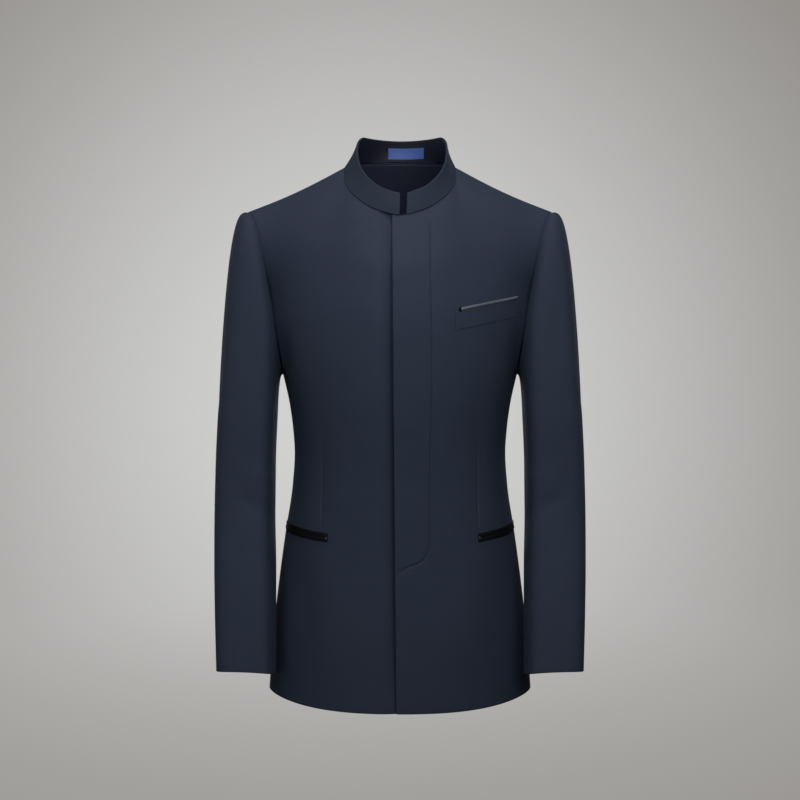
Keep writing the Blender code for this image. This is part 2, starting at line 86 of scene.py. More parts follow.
neck = {
    "pointTurn": 100.0, "bow": 0.0015, "sideBow": -0.0020, "leftEnd": 0.0081, "wall": 0.0030,
    "turn": (0.0, 26.0, 45.0, 65.0, 90.0, 100.0, 122.0, 180.0),
    "seam": {
        "half": (0.078, 0.074), "centre": (0.0, -0.012),
        "height": (-0.075, -0.0660, -0.0525, -0.0360, -0.0130, 0.0, 0.0080, 0.013),
    },
    "top": {
        "half": (0.0635, 0.0685), "centre": (0.003, -0.0115),
        "height": (-0.0437, -0.0352, -0.0221, -0.0043, 0.0245, 0.0355, 0.0450, 0.0437),
    },
}
shoulder = {
    "tip": (0.214, 0.005, -0.0628), "sag": 0.0038, "share": 0.46,
    "armholeDepth": {"front": -0.051, "back": 0.057}, "armholeSpread": {"front": 0.0, "back": 0.006},
    "armholeFlare": 1.6, "armholeReach": 3.2, "roundRise": 2.2, "neckRound": 1.1, "tipRound": 1.8,
    "roundFrom": 0.38, "roundTo": 0.82, "neckFan": 0.65, "cornerSoftness": 0.24, "cornerSamples": 9,
}


def curve(knots, values, at, levelEnds=False):  # monotone cubic through a table
    knots, values, at = np.asarray(knots), np.asarray(values), np.asarray(at, float)
    steps = np.diff(knots)
    slopes = np.diff(values) / steps
    tangents = np.zeros(len(knots))
    if not levelEnds:
        tangents[0], tangents[-1] = slopes[0], slopes[-1]
    for i in range(1, len(knots) - 1):
        if slopes[i - 1] * slopes[i] > 0:
            tangents[i] = 2 * slopes[i - 1] * slopes[i] / (slopes[i - 1] + slopes[i])
    k = np.clip(np.searchsorted(knots, at) - 1, 0, len(steps) - 1)
    t = np.clip((at - knots[k]) / steps[k], 0, 1)
    rise = values[k] * (2 * t**3 - 3 * t**2 + 1) + values[k + 1] * (3 * t**2 - 2 * t**3)
    return rise + steps[k] * (tangents[k] * (t**3 - 2 * t**2 + t) + tangents[k + 1] * (t**3 - t**2))


def stack(x, y, z):
    return np.stack(np.broadcast_arrays(x, y, z), axis=-1).astype(float)


def unit(vectors):
    return vectors / np.maximum(np.linalg.norm(vectors, axis=-1, keepdims=True), 1e-12)


def ease(at, low=0, high=1):  # soft step from low to high
    t = np.clip((at - low) / (high - low), 0, 1)
    return t * t * (3 - 2 * t)


def blend(a, b, t):
    return a + (b - a) * t


def bell(distance, width):
    return np.exp(-((distance / width) ** 2))


def neckRing(edge, turn, side=1):  # the collar's seam or its top
    ring, angle = neck[edge], np.radians(turn)
    x = ring["centre"][0] + side * ring["half"][0] * np.sin(angle)
    y = ring["centre"][1] - ring["half"][1] * np.cos(angle)
    return stack(x, y, curve(neck["turn"], ring["height"], turn, True))


def shoulderSeam(share):
    share = np.asarray(share, float)[..., None]
    start = neckRing("seam", np.array(neck["pointTurn"]))
    return blend(start, np.array(shoulder["tip"]), share) - np.array((0, 0, shoulder["sag"])) * np.sin(np.pi * share)


def armhole(face, share):  # underarm at 0, shoulder tip at 1
    tipX, tipY, tipZ = shoulder["tip"]
    lowX = body["halfWidth"][-1]
    swing = np.sin(np.pi * share)
    spread = shoulder["armholeSpread"][face] * swing
    x = blend(lowX, tipX, np.maximum(share, 0) ** shoulder["armholeFlare"]) + spread
    y = tipY * share + shoulder["armholeDepth"][face] * swing
    z = (tipZ + body["underarm"]) / 2 - (tipZ - body["underarm"]) / 2 * np.cos(np.pi * share)
    return stack(x, y, z)


def topEdge(face, share):
    along = share / shoulder["share"]
    turn = neck["pointTurn"] * along if face == "front" else 180 - (180 - neck["pointTurn"]) * along
    seam = shoulderSeam((share - shoulder["share"]) / (1 - shoulder["share"]))
    return np.where((share < shoulder["share"])[..., None], neckRing("seam", turn), seam)


def softenedTop(face, share, rise):  # the neck point's corner fades out below the seam
    reach = shoulder["cornerSoftness"] * np.sqrt(1 - rise) * np.sin(np.pi * share)
    steps = np.linspace(-1, 1, shoulder["cornerSamples"])
    near = [topEdge(face, np.clip(share + reach * step, 0, 1)) for step in steps]
    return sum(near) / len(near)


def squared(angle, square):  # a circle with flatter sides
    x = (np.sin(angle) + square * np.sin(3 * angle)) / (1 - square)
    y = (np.cos(angle) - square * np.cos(3 * angle)) / (1 - square)
    return x, y


def oval(face, share, height):
    x, y = squared(share * np.pi / 2, body["squareness"])
    width = curve(body["height"], body["halfWidth"], height)
    depth = curve(body["height"], body[face], height)
    return stack(x * width, (-y if face == "front" else y) * depth, height)


def hemHeight(face, share):
    return body["hemSide"] - body["hemDip"][face] * (1 - np.sin(share * np.pi / 2) ** body["hemRound"])


def chestPoint(face, share, rise):
    low = body["underarm"]
    high = neck["seam"]["height"][0 if face == "front" else -1]
    out = -1.0 if face == "front" else 1.0
    depth = curve(body["centreShare"][face], body["centreDepth"][face], rise)
    centre = stack(0.0 * rise, out * depth, blend(low, high, rise))
    ridge = ease(share, shoulder["roundFrom"], shoulder["roundTo"])
    roundness = blend(shoulder["neckRound"], shoulder["tipRound"], ridge)
    rounded = 1 - (1 - rise ** shoulder["roundRise"]) ** (1 / roundness)
    up = stack(1 - (1 - rise) ** shoulder["neckFan"], rounded, rise)
    across = (share ** shoulder["armholeReach"])[..., None]
    zero, one, under = np.zeros_like(share), np.ones_like(share), np.full_like(share, low)
    inner, outer = (blend(oval(face, end, under), topEdge(face, end), up) for end in (zero, one))
    sides = blend(centre, armhole(face, rise), across)
    upright = blend(oval(face, share, under), softenedTop(face, share, rise), up)
    return sides + upright - blend(inner, outer, across)


def bodyPoint(face, share, level):  # level 0 is the hem, 1 the underarm, 2 the neck and shoulder
    share, level = (np.asarray(a, float) for a in np.broadcast_arrays(share, level))
    size = np.abs(share)
    hem = hemHeight(face, size)
    skirt = oval(face, size, blend(hem, body["underarm"], np.clip(level, 0, 1)))
    chest = chestPoint(face, size, np.clip(level - 1, 0, 1))
    point = np.where((level <= 1)[..., None], skirt, chest)
    point[..., 0] *= np.where(share < 0, -1, 1)
    return point


search = {  # how a point of the body is found from its place in the front view
    "width": 0.30, "skirt": 0.45, "chest": 0.24,  # sizes behind the first guess
    "shares": (0.01, 0.8), "levels": (0.02, 1.9), "frontShares": (-0.5, 0.75),
    "step": 1e-4, "stride": 0.1, "rounds": 40, "halvings": 30, "normalStep": 2e-3,
}


def halve(low, high, isShort):  # the place between low and high where isShort ends
    for _ in range(search["halvings"]):
        middle = (low + high) / 2
        short = isShort(middle)
        low, high = np.where(short, middle, low), np.where(short, high, middle)
    return (low + high) / 2


def shareAt(level, x):  # where the front passes x
    low, high = (np.full(np.shape(level), end) for end in search["frontShares"])
    return halve(low, high, lambda share: bodyPoint("front", share, level)[..., 0] < x)


def between(a, b):  # area that two flat vectors span
    return a[..., 0] * b[..., 1] - a[..., 1] * b[..., 0]


def bodyAt(face, x, z):  # share and level of the body's point seen at x, z from the front
    x, z = (np.asarray(a, float) for a in np.broadcast_arrays(x, z))
    above = z - body["underarm"]
    share = np.clip(np.abs(x) / search["width"], *search["shares"])
    level = np.clip(1 + above / np.where(above < 0, search["skirt"], search["chest"]), *search["levels"])
    step, stride = search["step"], search["stride"]
    for _ in range(search["rounds"]):
        here = bodyPoint(face, share, level)[..., [0, 2]]
        a = (bodyPoint(face, share + step, level)[..., [0, 2]] - here) / step
        b = (bodyPoint(face, share, level + step)[..., [0, 2]] - here) / step
        gap = np.stack((np.abs(x), z), axis=-1) - here
        share = share + np.clip(between(gap, b) / between(a, b), -stride, stride)
        level = level + np.clip(between(a, gap) / between(a, b), -stride, stride)
    return share, level


def bodyFrame(face, share, level):  # point and outward normal
    step = search["normalStep"]
    along = bodyPoint(face, share + step, level) - bodyPoint(face, share - step, level)
    upward = bodyPoint(face, share, level + step) - bodyPoint(face, share, level - step)
    normal = unit(np.cross(along, upward))
    return bodyPoint(face, share, level), normal if face == "front" else -normal


# Grids of cloth

rowCrowd = {"level": 0.438, "reach": 0.035, "more": 2.5, "samples": 2001, "top": 1.5}
columnCrowd = {"bothEnds": 0.72, "oneEnd": 0.7}
rimSteps = 5  # facets round a turned edge
foldDefaults = {"samples": 61, "bow": 0.0, "fadeIn": 0.3, "fadeOut": 0.3}
foldReach = 3  # widths from its line where a fold has died out


def rowLevels(below, above):  # rows crowd where the fly line curves and towards the shoulder
    t = np.linspace(0, 1, rowCrowd["samples"])
    near = bell(t - rowCrowd["level"], rowCrowd["reach"])
    crowd = np.cumsum(1 + rowCrowd["more"] * near)
    low = np.interp(np.arange(below) / below, (crowd - crowd[0]) / (crowd[-1] - crowd[0]), t)
    return np.concatenate((low, 2 - (1 - np.arange(above + 1) / above) ** rowCrowd["top"]))


def spacing(count, nearStart, nearEnd):  # steps from 0 to 1, closer together at the named ends
    t = np.linspace(0, 1, count + 1)
    crowd = columnCrowd["oneEnd"]
    if nearStart and nearEnd:
        return t - columnCrowd["bothEnds"] * np.sin(2 * np.pi * t) / (2 * np.pi)
    if nearStart:
        return (1 - crowd) * t + crowd * t * t
    if nearEnd:
        return (1 + crowd) * t - crowd * t * t
    return t


def columnShares(lines, counts, dense):  # dense says which lines draw columns in
    parts = [lines[0][:, None]]
    for k, count in enumerate(counts):
        t = spacing(count, dense[k], dense[k + 1])[1:]
        parts.append(blend(lines[k][:, None], lines[k + 1][:, None], t))
    return np.concatenate(parts, axis=1)


def surfaceNormals(points, middle):  # outward is away from the middle
    normals = unit(np.cross(np.gradient(points, axis=1), np.gradient(points, axis=0)))
    return normals if np.sum(normals * (points - middle)) > 0 else -normals


def lengths(points, axis):  # metres along the grid from its first row or column
    steps = np.linalg.norm(np.diff(points, axis=axis), axis=-1)
    return np.insert(np.cumsum(steps, axis=axis), 0, 0, axis=axis)


def clothUv(points):  # metres along the rows and up the columns
    u, v = lengths(points, 1), lengths(points, 0)
    u -= u[:, points.shape[1] // 2][:, None]
    return np.stack((u, v), axis=-1)


def cutArea(points):
    a, b = points[1:, 1:] - points[:-1, :-1], points[1:, :-1] - points[:-1, 1:]
    return float(np.linalg.norm(np.cross(a, b), axis=-1).sum() / 2)


def borderLoop(rows, columns):
    loop = [(0, j) for j in range(columns)] + [(i, columns - 1) for i in range(1, rows)]
    loop += [(rows - 1, j) for j in range(columns - 2, -1, -1)] + [(i, 0) for i in range(rows - 2, 0, -1)]
    return np.array(loop)


def evenRim(radius):
    return dict.fromkeys(("low", "high", "left", "right"), radius)


def clothShell(name, outer, normals, wall, rim, finish, uv=None, lined=None):
    # rim: radius of the turned edge at the low, high, left and right sides of the grid
    print(name, "cut area", round(cutArea(outer), 5))
    outer = outer.copy()
    rows, columns = outer.shape[:2]
    wall = np.broadcast_to(wall, (rows, columns))
    loop = borderLoop(rows, columns)
    away = np.zeros_like(outer)
    pull = np.zeros((rows, columns, 1))
    for edge, inward, side in (
        (np.s_[0, :], np.s_[1, :], "low"),
        (np.s_[-1, :], np.s_[-2, :], "high"),
        (np.s_[:, 0], np.s_[:, 1], "left"),
        (np.s_[:, -1], np.s_[:, -2], "right"),
    ):
        away[edge] += unit(outer[edge] - outer[inward])
        pull[edge] = np.where(pull[edge] > 0, np.minimum(pull[edge], rim[side]), rim[side])
    outer -= away * pull
    inner = outer - normals * wall[..., None]
    li, lj = loop.T
    top, low = outer[li, lj], inner[li, lj]
    span = unit(top - low)
    bulge = unit(away[li, lj] - span * np.sum(away[li, lj] * span, axis=-1, keepdims=True))
    rings = [
        (top + low) / 2 + (top - low) / 2 * math.cos(t) + bulge * pull[li, lj] * math.sin(t)
        for t in np.linspace(0, np.pi, rimSteps + 1)[1:-1]
    ]
    count = rows * columns
    points = np.concatenate([outer.reshape(-1, 3), inner.reshape(-1, 3)] + rings)
    flat = np.arange(count).reshape(rows, columns)
    quads = np.stack((flat[:-1, :-1], flat[:-1, 1:], flat[1:, 1:], flat[1:, :-1]), axis=-1).reshape(-1, 4)
    faces = [quads, quads[:, ::-1] + count]
    chain = [flat[li, lj]]
    chain += [2 * count + len(loop) * k + np.arange(len(loop)) for k in range(len(rings))]
    chain += [flat[li, lj] + count]
    for a, b in zip(chain, chain[1:]):
        faces.append(np.stack((np.roll(a, -1), a, b, np.roll(b, -1)), axis=-1))
    faces = np.concatenate(faces)
    uv = clothUv(outer) if uv is None else uv
    ringUv = np.tile(uv[li, lj], (len(rings), 1))
    pointUv = np.concatenate((uv.reshape(-1, 2), uv.reshape(-1, 2), ringUv))
    lined = np.zeros((rows, columns)) if lined is None else lined
    inside = np.concatenate((np.zeros(count), lined.ravel(), np.zeros(len(ringUv))))
    return addMesh(name, points, faces, pointUv, inside, finish)


def addMesh(name, points, faces, pointUv, inside, finish):
    mesh = bpy.data.meshes.new(name)
    mesh.from_pydata(points.tolist(), [], faces.tolist())
    layer = mesh.uv_layers.new(name="cloth")
    corner = np.zeros(len(mesh.loops), int)
    mesh.loops.foreach_get("vertex_index", corner)
    layer.data.foreach_set("uv", pointUv[corner].astype(np.float32).ravel())
    mark = mesh.attributes.new("lined", "FLOAT", "POINT")
    mark.data.foreach_set("value", np.asarray(inside, np.float32))
    shape = bmesh.new()
    shape.from_mesh(mesh)
    bmesh.ops.recalc_face_normals(shape, faces=shape.faces)
    shape.to_mesh(mesh)
    shape.free()
    mesh.shade_smooth()
    mesh.materials.append(materials[finish])
    piece = addObject(name, mesh)
    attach(piece, "root")
    return piece


def fold(start, end, width, depth, **more):  # depth below 0 is a trough
    return {"start": start, "end": end, "width": width, "depth": depth, **more}


def foldPush(points, folds, onSurface):  # soft troughs and ridges along lines on the cloth
    push = np.zeros(points.shape[:-1])
    for each in folds:
        crease = {**foldDefaults, **each}
        t = np.linspace(0, 1, crease["samples"])
        if "path" in crease:
            t = t**2
            lineX, lineZ = crease["path"](t)
        else:
            (ax, az), (bx, bz) = crease["start"], crease["end"]
            lineX, lineZ = blend(ax, bx, t) + crease["bow"] * np.sin(np.pi * t), blend(az, bz, t)
        line = onSurface(lineX, lineZ)
        reach = foldReach * crease["width"]
        close = np.all((points > line.min(axis=0) - reach) & (points < line.max(axis=0) + reach), axis=-1)
        apart = np.linalg.norm(points[close][:, None] - line, axis=-1)
        along = t[apart.argmin(axis=-1)]
        fade = ease(along / crease["fadeIn"]) * ease((1 - along) / crease["fadeOut"])
        push[close] += crease["depth"] * fade * bell(apart.min(axis=-1), crease["width"])
    return push


def easeRows(points, near, rounds):  # rows drift towards their neighbours, heights stay
    flat = np.array((1, 1, 0))
    for _ in range(rounds):
        points[1:-1] += 0.5 * near[1:-1] * ((points[2:] + points[:-2]) / 2 - points[1:-1]) * flat
    return points


# Finishes


def setInputs(tree, node, inputs):
    for name, value in inputs.items():
        if isinstance(value, bpy.types.NodeSocket):
            tree.links.new(value, node.inputs[name])
        else:
            node.inputs[name].default_value = value
    return node


def addNode(tree, kind, inputs, **settings):
    node = tree.nodes.new("ShaderNode" + kind)
    for name, value in settings.items():
        setattr(node, name, value)
    return setInputs(tree, node, inputs)


def mathNode(tree, operation, *values):
    return addNode(tree, "Math", dict(enumerate(values)), operation=operation).outputs[0]


def mixValue(tree, share, a, b):
    return addNode(tree, "Mix", {0: share, 2: a, 3: b}).outputs[0]


def mixColour(tree, share, a, b):
    return addNode(tree, "Mix", {0: share, 6: a, 7: b}, data_type="RGBA").outputs[2]


def newMaterial(name):
    material = bpy.data.materials.new(name)
    material.use_nodes = True
    return material, material.node_tree, material.node_tree.nodes["Principled BSDF"]


def newGroup(name, inputs, outputs):  # an input with no number is a vector
    group = bpy.data.node_groups.new(name, "ShaderNodeTree")
    for label, value in inputs.items():
        kind = "NodeSocketVector" if value is None else "NodeSocketFloat"
        socket = group.interface.new_socket(label, in_out="INPUT", socket_type=kind)
        if value is not None:
            socket.default_value = value
    for label in outputs:
        group.interface.new_socket(label, in_out="OUTPUT", socket_type="NodeSocketFloat")
    return group, group.nodes.new("NodeGroupInput").outputs, group.nodes.new("NodeGroupOutput").inputs


def makeTwill():  # 2/2 twill: which yarn is on top, and how round it stands
    group, given, result = newGroup("twillWeave", {"Coord": None, "Yarns": 2200.0}, ("Warp", "Height"))
    parts = addNode(group, "SeparateXYZ", {0: given["Coord"]}).outputs
    u, v = (mathNode(group, "MULTIPLY", parts[k], given["Yarns"]) for k in (0, 1))
    stepsUp = mathNode(group, "ADD", mathNode(group, "FLOOR", u), mathNode(group, "FLOOR", v))
    warp = mathNode(group, "LESS_THAN", mathNode(group, "FLOORED_MODULO", stepsUp, 4.0), 1.5)
    bows = []
    for a in (u, v):
        turn = mathNode(group, "MULTIPLY", mathNode(group, "FRACT", a), math.pi)
        bows.append(mathNode(group, "SINE", turn))
    group.links.new(warp, result["Warp"])
    group.links.new(mixValue(group, warp, bows[1], bows[0]), result["Height"])
    return group


def makeHeather():  # fine flecks and slow patches in the dye
    inputs = {"Coord": None, "Fleck": 900.0, "Patch": 22.0}
    group, given, result = newGroup("heatherDye", inputs, ("Flecks", "Patches"))
    for label, scale, detail in (("Flecks", "Fleck", 2.0), ("Patches", "Patch", 3.0)):
        values = {"Vector": given["Coord"], "Scale": given[scale], "Detail": detail}
        group.links.new(addNode(group, "TexNoise", values).outputs[0], result[label])
    return group


twill, heather = makeTwill(), makeHeather()

worsted = {
    "yarns": 2100.0, "fleck": 700.0, "rough": (0.70, 0.80), "bump": 0.25, "specular": 0.20,
    "sheen": 0.02, "sheenRough": 0.45, "sheenTint": (0.55, 0.66, 0.85),
}
liningTwill = {
    "yarns": 4200.0, "fleck": 900.0, "rough": (0.40, 0.52), "bump": 0.12,
    "sheenRough": 0.35, "sheenTint": (0.60, 0.66, 0.85),
}
satinWeave = {
    "yarns": 5200.0, "fleck": 1300.0, "bump": 0.10, "sheen": 0.0, "sheenRough": 0.3, "sheenTint": (1.0, 1.0, 1.0),
}
twist = {"yarns": 6000.0, "fleck": 2500.0, "bump": 0.0, "sheenRough": 0.4, "sheenTint": (1.0, 1.0, 1.0)}
finishes = {
    "wool": {**worsted, "dark": (0.0162, 0.0228, 0.0400), "light": (0.0270, 0.0380, 0.0665)},
    "collarShadedCloth": {  # the wool's colours darkened by about a sixth: painted shade, so the collar looks dimmer than the chest
        **worsted, "dark": (0.0137, 0.0193, 0.0338), "light": (0.0228, 0.0321, 0.0562),
    },
    "lining": {
        **liningTwill, "dark": (0.0172, 0.0194, 0.0383), "light": (0.0297, 0.0334, 0.0607),
        "sheen": 0.10, "specular": 0.40,
    },
    # the lining's colours at about half: painted shade inside the collar
    "collarShadedFacing": {
        **liningTwill, "dark": (0.0088, 0.0098, 0.0190), "light": (0.0150, 0.0168, 0.0305),
        "sheen": 0.05, "specular": 0.30,
    },
    "satin": {
        **satinWeave, "dark": (0.0026, 0.0026, 0.0036), "light": (0.0052, 0.0052, 0.0070),
        "rough": (0.56, 0.68), "specular": 0.12,
    },
    "piping": {
        **satinWeave, "dark": (0.070, 0.078, 0.098), "light": (0.116, 0.127, 0.157),
        "rough": (0.30, 0.42), "specular": 0.50,
    },
    "label": {
        "dark": (0.044, 0.096, 0.330), "light": (0.078, 0.154, 0.475), "yarns": 3000.0, "fleck": 1500.0,
        "rough": (0.45, 0.60), "bump": 0.15, "specular": 0.40,
        "sheen": 0.10, "sheenRough": 0.4, "sheenTint": (0.8, 0.85, 1.0),
    },
    "thread": {
        **twist, "dark": (0.0090, 0.0115, 0.0180), "light": (0.0160, 0.0200, 0.0300),
        "rough": (0.55, 0.70), "specular": 0.35, "sheen": 0.1, "sheenTint": (0.7, 0.8, 1.0),
    },
    # a real bar tack, made near black as painted shade for the pocket opening's end
    "nearBlackShadeThread": {
        **twist, "dark": (0.0018, 0.0019, 0.0026), "light": (0.0034, 0.0036, 0.0048),
        "rough": (0.60, 0.75), "specular": 0.20, "sheen": 0.0,
    },
    "paleThread": {
        **twist, "dark": (0.160, 0.168, 0.185), "light": (0.260, 0.270, 0.295),
        "rough": (0.50, 0.65), "specular": 0.40, "sheen": 0.1,
    },
}
toneShares = {"base": -0.12, "fleck": 0.55, "warp": 0.22, "patch": 0.35}  # from dark yarn to light
bumpDistance = 0.0002


def weaveLook(tree, coord, look):  # colour, roughness and height of one cloth
    weave = addNode(tree, "Group", {"Coord": coord, "Yarns": look["yarns"]}, node_tree=twill).outputs
    dye = addNode(tree, "Group", {"Coord": coord, "Fleck": look["fleck"]}, node_tree=heather).outputs
    tone = toneShares["base"]
    for mark, share in ((dye["Flecks"], "fleck"), (weave["Warp"], "warp"), (dye["Patches"], "patch")):
        tone = mathNode(tree, "MULTIPLY_ADD", mark, toneShares[share], tone)
    smooth, coarse = look["rough"]
    rough = addNode(tree, "MapRange", {0: dye["Flecks"], 3: smooth, 4: coarse}).outputs[0]
    return mixColour(tree, tone, (*look["dark"], 1), (*look["light"], 1)), rough, weave["Height"]


def makeFinish(name, look, backing=None):
    material, tree, shader = newMaterial(name)
    coord = addNode(tree, "TexCoord", {}).outputs["UV"]
    colour, rough, height = weaveLook(tree, coord, look)
    if backing:  # the lining on the inner side of the cloth
        mark = addNode(tree, "Attribute", {}, attribute_name="lined").outputs["Fac"]
        backColour, backRough, backHeight = weaveLook(tree, coord, backing)
        colour = mixColour(tree, mark, colour, backColour)
        rough, height = mixValue(tree, mark, rough, backRough), mixValue(tree, mark, height, backHeight)
    surface = {
        "Base Color": colour, "Roughness": rough, "Specular IOR Level": look["specular"],
        "Sheen Weight": look["sheen"], "Sheen Roughness": look["sheenRough"], "Sheen Tint": (*look["sheenTint"], 1),
    }
    if look["bump"]:
        values = {"Strength": look["bump"], "Distance": bumpDistance, "Height": height}
        surface["Normal"] = addNode(tree, "Bump", values).outputs[0]
    setInputs(tree, shader, surface)
    return material


doubled = ("wool", "collarShadedCloth", "collarShadedFacing")  # used with a backing
materials = {name: makeFinish(name, look) for name, look in finishes.items() if name not in doubled}
materials["wool"] = makeFinish("wool", finishes["wool"], finishes["lining"])
# the collar's material is painted shade: darker copies of the wool outside and of the lining inside
materials["collarShadedWool"] = makeFinish("collarShadedWool", finishes["collarShadedCloth"], finishes["collarShadedFacing"])
print("finishes ready:", ", ".join(sorted(materials)))

# Fronts and backs

lap = {
    "edgeHeight": (-0.745, -0.400, -0.075), "edge": (-0.0050, -0.0082, -0.0110), "underReach": -0.040,
    "recessHeight": (-0.745, -0.690, -0.600, -0.450, -0.200, -0.075),
    "recess": (0.0060, 0.0105, 0.0130, 0.0145, 0.0130, 0.0075),
    "recessReach": 0.026, "recessUnder": 0.003, "recessPower": 2.0,
}
flyLine = {
    "height": (-0.5587, -0.5530, -0.5495, -0.5462, -0.5396, -0.5301, -0.5186, -0.430, -0.265, -0.230, -0.085),
    "x": (-0.0028, 0.0048, 0.0124, 0.0225, 0.0324, 0.0382, 0.0400, 0.0409, 0.0432, 0.0426, 0.0408),
}


def flyPath(t):  # from the curve at the front edge up to the collar
    z = blend(flyLine["height"][0], flyLine["height"][-1], t)
    return curve(flyLine["height"], flyLine["x"], z), z


fronts = {
    "rows": (150, 84), "flyLine": 0.0420, "dartLine": 0.1064, "columns": (22, 26, 40),
    "underColumns": (14, 24, 22, 40),
    "facing": 0.085,  # cloth turned in along the front edge
    "hemTurn": 0.040, "edgeRound": 0.0010, "seamRound": 0.0005, "neckRound": 0.0011, "neckFade": 0.03,
    "underarmEasing": 60, "underarmReach": 0.040, "underarmPower": 8, "liningFade": 0.002, "seamPress": 0.0001,
    "sheet": {"front_left": ((0.285, 0.700), 0.166), "front_right": ((0.325, 0.700), 0.190)},
}
dart = fronts["dartLine"]
frontFolds = [  # start and end are x, z
    fold((dart, -0.362), (dart, -0.497), 0.0012, -0.0013, fadeIn=0.45, fadeOut=0.04, samples=241),
    fold((0.1080, -0.260), (0.1060, -0.500), 0.0130, -0.0013, fadeIn=0.5, fadeOut=0.15),
    fold((0.1660, -0.215), (0.1560, -0.345), 0.0180, -0.0035, fadeIn=0.4, fadeOut=0.5),
    fold((0.0700, -0.560), (0.0950, -0.700), 0.0260, 0.0012, bow=0.006),
    fold((0.1240, -0.540), (0.1330, -0.690), 0.0200, -0.0012, bow=-0.004),
]
flyFold = {"path": flyPath, "width": 0.0013, "depth": -0.0014, "fadeIn": 0.002, "fadeOut": 0.01, "samples": 700}
armholeSinks = [  # a stitched groove in a sharp crease in a wide hollow
    {"front": 0.0018, "back": 0.0018, "cloth": 0.0016, "sleeve": 0.0020, "top": 0.45},
    {"front": 0.0075, "back": 0.0020, "cloth": 0.010, "sleeve": 0.005, "top": 0.0},
    {"front": 0.0075, "back": 0.0015, "cloth": 0.038, "sleeve": 0.010, "top": 0.0},
]
backs = {"columns": 70, "hemTurn": 0.040, "sheet": ((0.260, 0.745), 0.163)}
backFolds = [
    fold((0.150, -0.130), (0.120, -0.270), 0.018, -0.0035, bow=-0.010),
    fold((0.128, -0.160), (0.085, -0.300), 0.022, 0.0022, bow=-0.008),
    fold((0.020, -0.405), (0.120, -0.385), 0.013, -0.0016),
    fold((0.035, -0.430), (0.105, -0.423), 0.010, 0.0011),
    fold((0.055, -0.520), (0.070, -0.690), 0.024, 0.0016, bow=0.006),
    fold((0.110, -0.540), (0.120, -0.700), 0.022, -0.0016, bow=-0.005),
]


def onBody(face):
    return lambda x, z: bodyPoint(face, *bodyAt(face, x, z))


def awayFrom(points, middle, axis):  # outward from a line along the axis
    away = points - np.array(middle)
    away[..., axis] = 0
    return unit(away)


def armholeRim(points):  # the cloth's edge faces the middle of the arm opening
    return awayFrom(points, (0.0, 0.0, (shoulder["tip"][2] + body["underarm"]) / 2), 0)


def neckRim(points):
    return awayFrom(points, (*neck["seam"]["centre"], 0.0), 2)


def sinkSeam(points, edge, apart, piece, face):  # the armhole seam lies deeper than the cloth beside it
    inward = -armholeRim(edge)
    aside, above = inward[..., 1] ** 2, np.minimum(inward[..., 2], 0) ** 2
    depth = sum(sink[face] * (aside + sink["top"] * above) * np.exp(-apart / sink[piece]) for sink in armholeSinks)
    return points + inward * depth[..., None]


def bodyPanel(face, shares, levels, folds):
    base = bodyPoint(face, shares, levels[:, None])
    near = bell(base[..., 2:3] - body["underarm"], fronts["underarmReach"])
    near *= 1 - np.abs(shares[..., None]) ** fronts["underarmPower"]
    base = easeRows(base, near, fronts["underarmEasing"])  # a soft change of form at the underarm
    points = base + surfaceNormals(base, body["middle"]) * foldPush(base, folds, onBody(face))[..., None]
    apart = lengths(points[:, ::-1], 1)[:, ::-1]
    chest = levels > 1
    points[chest] = sinkSeam(points[chest], points[chest, -1:], apart[chest], "cloth", face)
    return points


def panelNormals(points, levels, shares):
    normals = surfaceNormals(points, body["middle"])
    normals[levels > 1, -1] = armholeRim(points[levels > 1, -1])
    atNeck = shares[-1] <= shoulder["share"]
    normals[-1, atNeck] = neckRim(points[-1, atNeck])
    return normals


def sewShut(points, *edges):  # seam edges press a little into their neighbours
    for edge in edges:
        inward = 1 if edge == 0 else -2
        points[:, edge] += unit(points[:, edge] - points[:, inward]) * fronts["seamPress"]
    return points


def topRound(shares):  # the neck seam lies deeper than the shoulder seam
    toShoulder = ease((shares[-1] - shoulder["share"]) / fronts["neckFade"] + 1)[:, None]
    return blend(fronts["neckRound"], fronts["seamRound"], toShoulder)


def declare(node):  # hides the frame's node that this cloth stands in for
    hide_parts(node)


def onSide(side, *grids):  # the right side is the left one mirrored
    return [grid * np.array((side, 1, 1)) for grid in grids]


def lapEdge(height):  # x of the front edge that lies on top
    return curve(lap["edgeHeight"], lap["edge"], height)


def lapRecess(points):  # the cloth sinks more and more steeply towards the edge that lies on top
    fromEdge = points[..., 0] + lapEdge(points[..., 2])
    near = np.clip((lap["recessReach"] - fromEdge) / (lap["recessReach"] + lap["recessUnder"]), 0, 1)
    return curve(lap["recessHeight"], lap["recess"], points[..., 2]) * near ** lap["recessPower"]


def linedPast(distance):  # the lining starts where the turned cloth ends
    return ease(distance / fronts["liningFade"])


def makePanel(name, side, points, normals, wall, rim, uv, lined):
    return clothShell(name, *onSide(side, points, normals), wall, rim, "wool", uv, lined)


